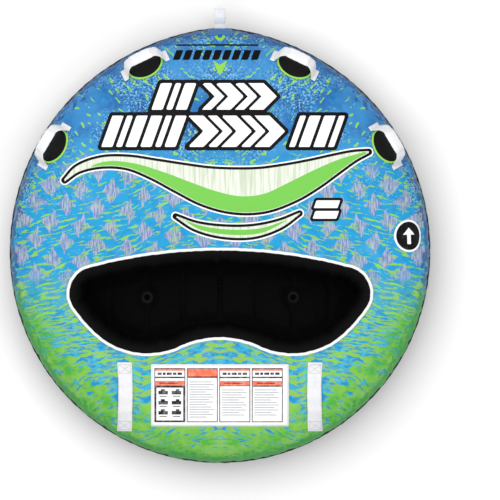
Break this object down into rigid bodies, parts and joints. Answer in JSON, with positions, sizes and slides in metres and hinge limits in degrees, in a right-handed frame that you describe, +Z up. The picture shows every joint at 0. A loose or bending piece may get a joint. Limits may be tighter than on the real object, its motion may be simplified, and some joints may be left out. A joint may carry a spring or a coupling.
{
  "type": "towable tube",
  "caption": "Inflatable round towable water tube with an open kidney-shaped well, webbing handles over padded knuckle guards, a tow loop, a valve and a zipped cover.",
  "frame": {"origin": "middle of the flat underside, on the surface the tube lies on", "axes": "+X across the tube to the riders' right, +Y towards the tow loop, +Z up"},
  "size_m": [1.4312, 1.5476, 0.344],
  "materials": {
    "printed_cover": "printed coated nylon, satin",
    "base_cover": "coated tarpaulin, satin",
    "rim_piping": "vinyl cord, satin",
    "bladder": "vinyl film, gloss",
    "cockpit_fabric": "woven nylon, matte",
    "floor_fabric": "foam pad in nylon, matte",
    "white_piping": "vinyl piping, satin",
    "lime_piping": "vinyl piping, satin",
    "black_plastic": "moulded, satin",
    "label_cloth": "printed polyester, matte",
    "badge_cloth": "printed nylon, satin",
    "white_webbing": "woven nylon, matte",
    "grip_sleeve": "nylon sleeve over foam, matte",
    "black_patch": "woven nylon, matte",
    "neoprene": "neoprene, matte",
    "valve_rubber": "soft vinyl, satin",
    "valve_plastic": "moulded, satin",
    "flap_fabric": "coated nylon, satin",
    "hook_and_loop": "hook and loop, matte",
    "zip_tape": "woven tape, matte",
    "zip_teeth": "moulded coil, satin",
    "zip_metal": "nickel plated"
  },
  "bodies": {
    "hull": {"cover_top": "printed_cover", "cover_side": "base_cover", "cover_bottom": "base_cover", "rim_piping": "rim_piping", "bladder": "bladder", "cockpit_liner": "cockpit_fabric", "cockpit_floor": "floor_fabric", "cockpit_piping": "white_piping", "drain_eyelet_left": "black_plastic", "drain_eyelet_right": "black_plastic", "label_panel": "label_cloth", "side_badge": "badge_cloth", "rear_strap_left": "white_webbing", "rear_strap_right": "white_webbing", "tow_patch_top": "black_patch", "tow_patch_bottom": "black_patch", "tow_tail": "white_webbing", "valve_base": "valve_rubber", "valve_insert": "valve_plastic", "valve_membrane": "valve_rubber", "flap_hook_strip": "hook_and_loop", "flap_hem": "flap_fabric", "zip_tape_lower": "zip_tape", "zip_tape_upper": "zip_tape", "zip_teeth": "zip_teeth", "knuckle_pad_right_rear": "neoprene", "knuckle_piping_right_rear": "lime_piping", "handle_tab_right_rear_a": "white_webbing", "handle_tab_right_rear_b": "white_webbing", "knuckle_pad_right_front": "neoprene", "knuckle_piping_right_front": "lime_piping", "handle_tab_right_front_a": "white_webbing", "handle_tab_right_front_b": "white_webbing", "knuckle_pad_left_front": "neoprene", "knuckle_piping_left_front": "lime_piping", "handle_tab_left_front_a": "white_webbing", "handle_tab_left_front_b": "white_webbing", "knuckle_pad_left_rear": "neoprene", "knuckle_piping_left_rear": "lime_piping", "handle_tab_left_rear_a": "white_webbing", "handle_tab_left_rear_b": "white_webbing"},
    "handle_right_rear": {"handle_strap_right_rear": "white_webbing", "handle_grip_right_rear": "grip_sleeve"},
    "handle_right_front": {"handle_strap_right_front": "white_webbing", "handle_grip_right_front": "grip_sleeve"},
    "handle_left_front": {"handle_strap_left_front": "white_webbing", "handle_grip_left_front": "grip_sleeve"},
    "handle_left_rear": {"handle_strap_left_rear": "white_webbing", "handle_grip_left_rear": "grip_sleeve"},
    "tow_loop": {"tow_loop": "white_webbing"},
    "valve_flap": {"valve_flap": "flap_fabric", "flap_loop_strip": "hook_and_loop"},
    "valve_cap": {"valve_cap": "valve_plastic"},
    "zip_slider": {"zip_slider": "zip_metal"},
    "zip_pull": {"zip_pull": "zip_metal"}
  },
  "joints": [
    {"name": "handle_right_rear_flop", "type": "hinge", "parent": "hull", "child": "handle_right_rear", "pos_m": [0.56292, 0.325, 0.2856], "axis": [-0.5099, 0.8602, 0], "range_deg": [-45, 45], "stiffness_Nm_per_rad": 0.6, "deforming": ["handle_strap_right_rear"]},
    {"name": "handle_right_front_flop", "type": "hinge", "parent": "hull", "child": "handle_right_front", "pos_m": [0.25398, 0.59833, 0.28982], "axis": [-0.9013, 0.4332, 0], "range_deg": [-45, 45], "stiffness_Nm_per_rad": 0.6, "deforming": ["handle_strap_right_front"]},
    {"name": "handle_left_front_flop", "type": "hinge", "parent": "hull", "child": "handle_left_front", "pos_m": [-0.25398, 0.59833, 0.28982], "axis": [-0.9013, -0.4332, 0], "range_deg": [-45, 45], "stiffness_Nm_per_rad": 0.6, "deforming": ["handle_strap_left_front"]},
    {"name": "handle_left_rear_flop", "type": "hinge", "parent": "hull", "child": "handle_left_rear", "pos_m": [-0.56292, 0.325, 0.2856], "axis": [-0.5099, -0.8602, 0], "range_deg": [-45, 45], "stiffness_Nm_per_rad": 0.6, "deforming": ["handle_strap_left_rear"]},
    {"name": "tow_loop_swing", "type": "hinge", "parent": "hull", "child": "tow_loop", "pos_m": [0, 0.736, 0.16], "axis": [1, 0, 0], "range_deg": [-60, 60], "stiffness_Nm_per_rad": 0.5},
    {"name": "valve_flap_lift", "type": "hinge", "parent": "hull", "child": "valve_flap", "pos_m": [0, -0.75176, 0.11697], "axis": [-1, 0, 0], "range_deg": [0, 110]},
    {"name": "valve_cap_turn", "type": "hinge", "parent": "hull", "child": "valve_cap", "pos_m": [0, -0.72241, 0.06183], "axis": [0, -0.8192, -0.5736], "range_deg": [0, 90]},
    {"name": "zip_slide", "type": "hinge", "parent": "hull", "child": "zip_slider", "pos_m": [0, -0.03764, 0.04], "axis": [0, 0, 1], "range_deg": [-38, 0]},
    {"name": "zip_pull_turn", "type": "hinge", "parent": "zip_slider", "child": "zip_pull", "pos_m": [0.55962, -0.40805, 0.03464], "axis": [0.6038, -0.3997, 0.6897], "range_deg": [0, 150]}
  ]
}
